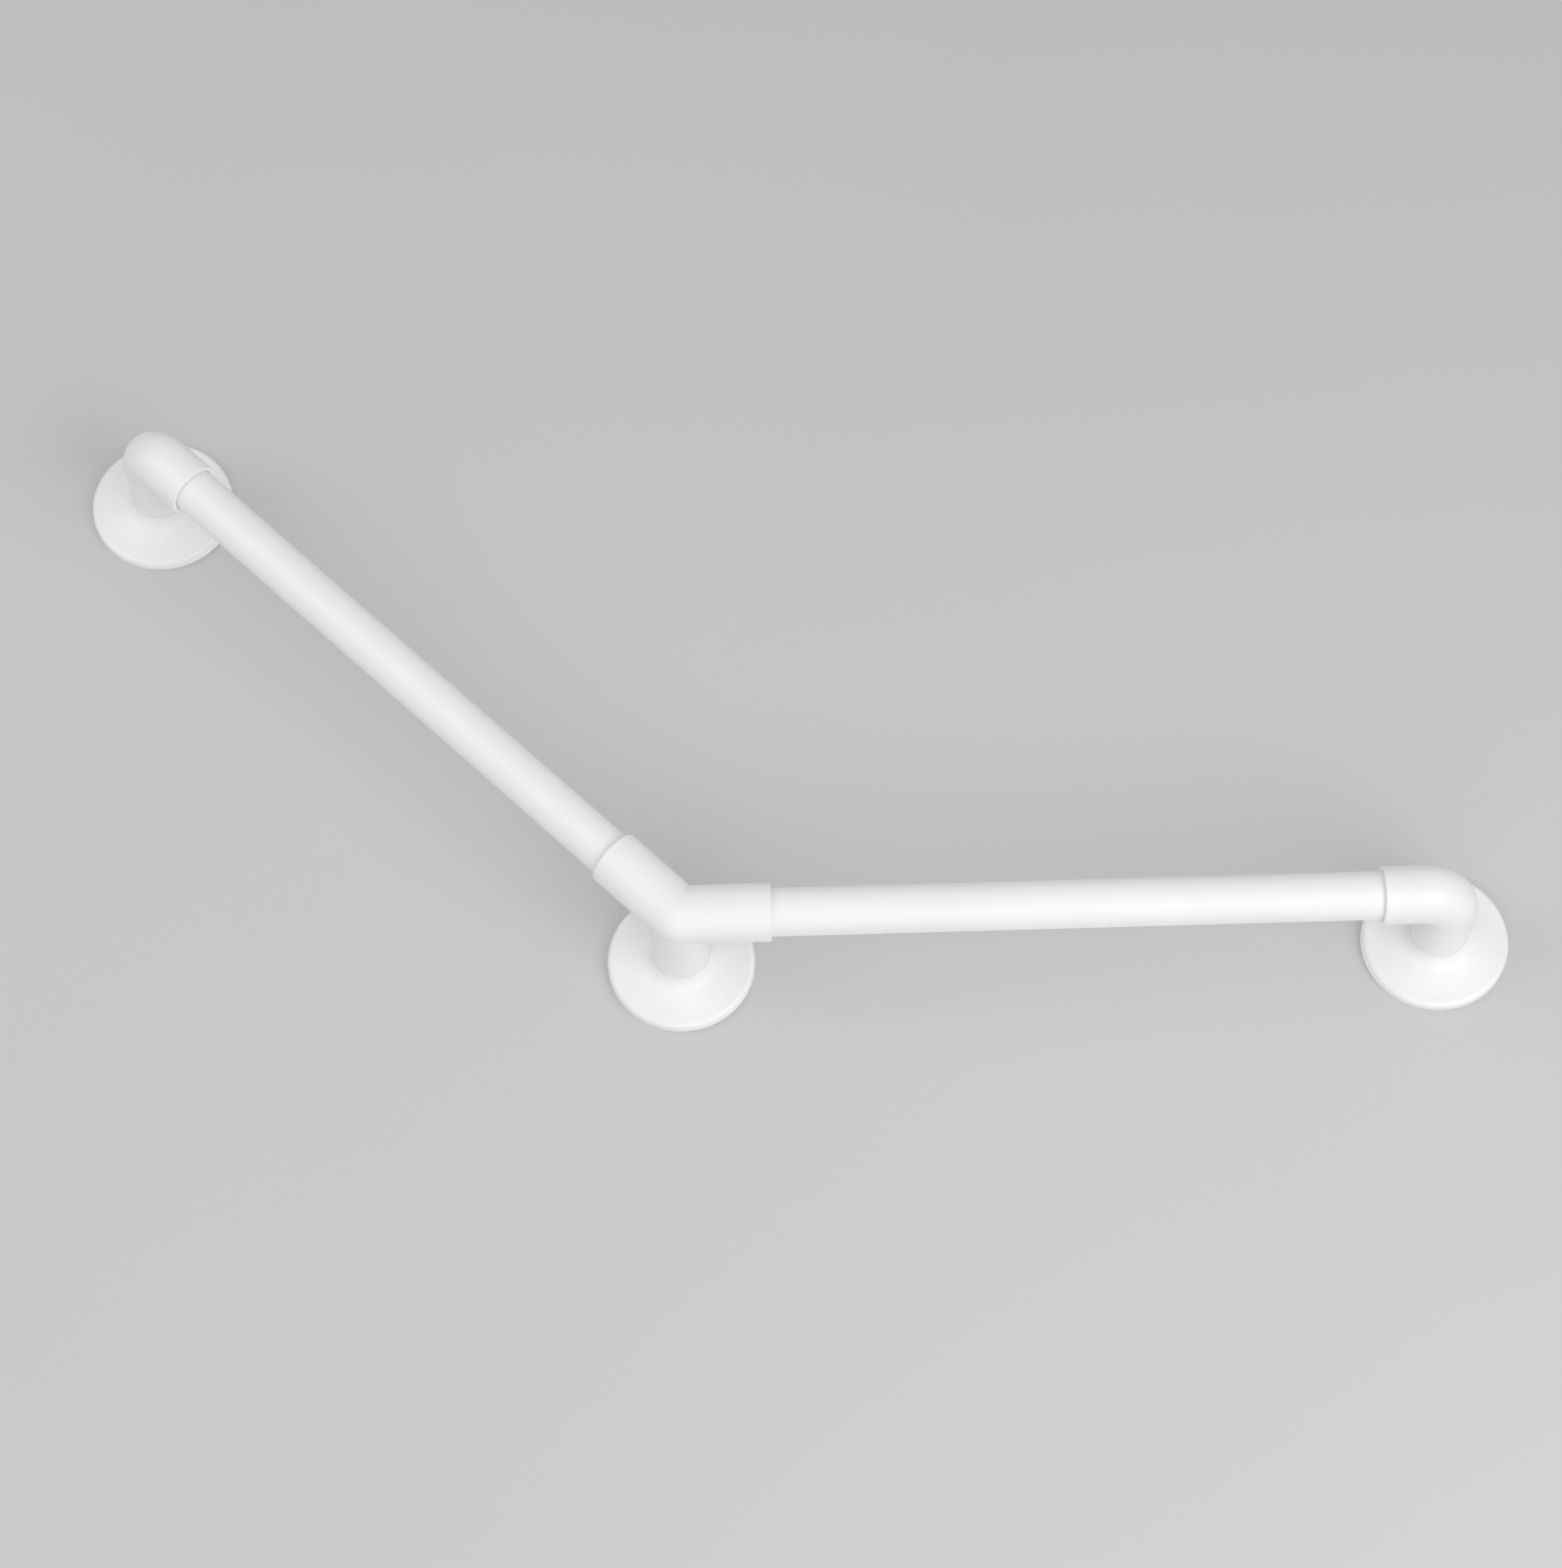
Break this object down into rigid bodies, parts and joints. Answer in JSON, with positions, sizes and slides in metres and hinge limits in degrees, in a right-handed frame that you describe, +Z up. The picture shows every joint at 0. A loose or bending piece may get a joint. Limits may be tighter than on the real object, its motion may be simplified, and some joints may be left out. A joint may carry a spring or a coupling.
{
  "type": "angled grab bar",
  "caption": "Wall-mounted grab bar with a level leg and a leg sloping up at 135 degrees, white sleeved tubes in moulded fittings, and flared roses over the wall plates.",
  "frame": {"origin": "where the corner fitting's stem axis meets the wall plane", "axes": "+X along the level leg to the right, +Y into the wall, +Z up the wall; the bar stands out towards -Y"},
  "size_m": [0.7608, 0.0812, 0.3608],
  "materials": {
    "grip_sleeve": "smooth white satin-gloss plastic tube",
    "moulded_fitting": "white moulded plastic with a soft gloss",
    "rose": "white moulded plastic with a soft gloss",
    "core_tube": "drawn, plain",
    "wall_plate": "die cast, tumbled",
    "fastener": "zinc plated",
    "insert": "turned"
  },
  "bodies": {
    "bar": {"level_core_tube": "core_tube", "level_grip_sleeve": "grip_sleeve", "sloping_core_tube": "core_tube", "sloping_grip_sleeve": "grip_sleeve", "corner_fitting": "moulded_fitting", "upper_end_elbow": "moulded_fitting", "lower_end_elbow": "moulded_fitting", "corner_wall_plate": "wall_plate", "upper_wall_plate": "wall_plate", "lower_wall_plate": "wall_plate", "corner_stem_bolt": "fastener", "upper_stem_bolt": "fastener", "lower_stem_bolt": "fastener", "corner_stem_insert": "insert", "upper_stem_insert": "insert", "lower_stem_insert": "insert", "socket_screws": "fastener"},
    "corner_cover": {"corner_rose": "rose"},
    "upper_cover": {"upper_rose": "rose"},
    "lower_cover": {"lower_rose": "rose"}
  },
  "joints": [
    {"name": "corner_rose_slide", "type": "slide", "parent": "bar", "child": "corner_cover", "axis": [0, -1, 0], "range_m": [0, 0.03]},
    {"name": "upper_rose_slide", "type": "slide", "parent": "bar", "child": "upper_cover", "axis": [0, -1, 0], "range_m": [0, 0.03]},
    {"name": "lower_rose_slide", "type": "slide", "parent": "bar", "child": "lower_cover", "axis": [0, -1, 0], "range_m": [0, 0.03]}
  ]
}
